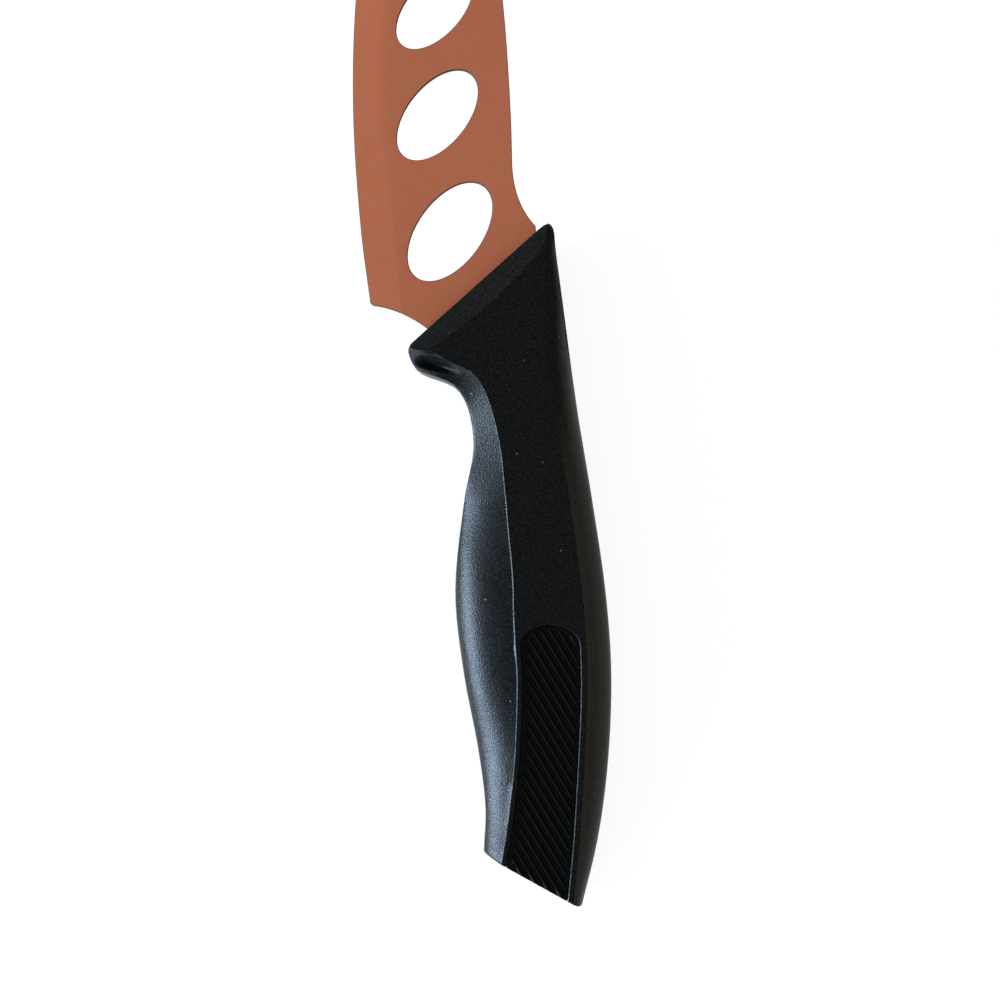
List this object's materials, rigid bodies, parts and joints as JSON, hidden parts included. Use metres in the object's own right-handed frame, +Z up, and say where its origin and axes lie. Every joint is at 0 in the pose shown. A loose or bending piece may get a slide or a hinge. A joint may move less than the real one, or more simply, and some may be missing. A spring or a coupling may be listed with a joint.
{
  "type": "cheese knife",
  "caption": "Cheese knife with a copper-coloured blade pierced by slanted oval air holes, a forked tip and a black moulded handle with a finger guard and ribbed grip inlays.",
  "frame": {"origin": "middle of the bounding box's bottom face, on the table the knife lies on", "axes": "+Z up out of the blade's left face, +Y along the knife from tail to tip, +X from the cutting edge to the spine"},
  "size_m": [0.046, 0.2262, 0.018],
  "materials": {
    "copper_coat": "satin copper-coloured coat on stainless steel",
    "black_moulding": "fine matt moulded grain",
    "soft_grip": "soft matt rubber with slanting ribs"
  },
  "bodies": {
    "root": {"blade": "copper_coat", "left_handle_half": "black_moulding", "right_handle_half": "black_moulding", "left_grip_inlay": "soft_grip", "right_grip_inlay": "soft_grip"}
  },
  "joints": []
}
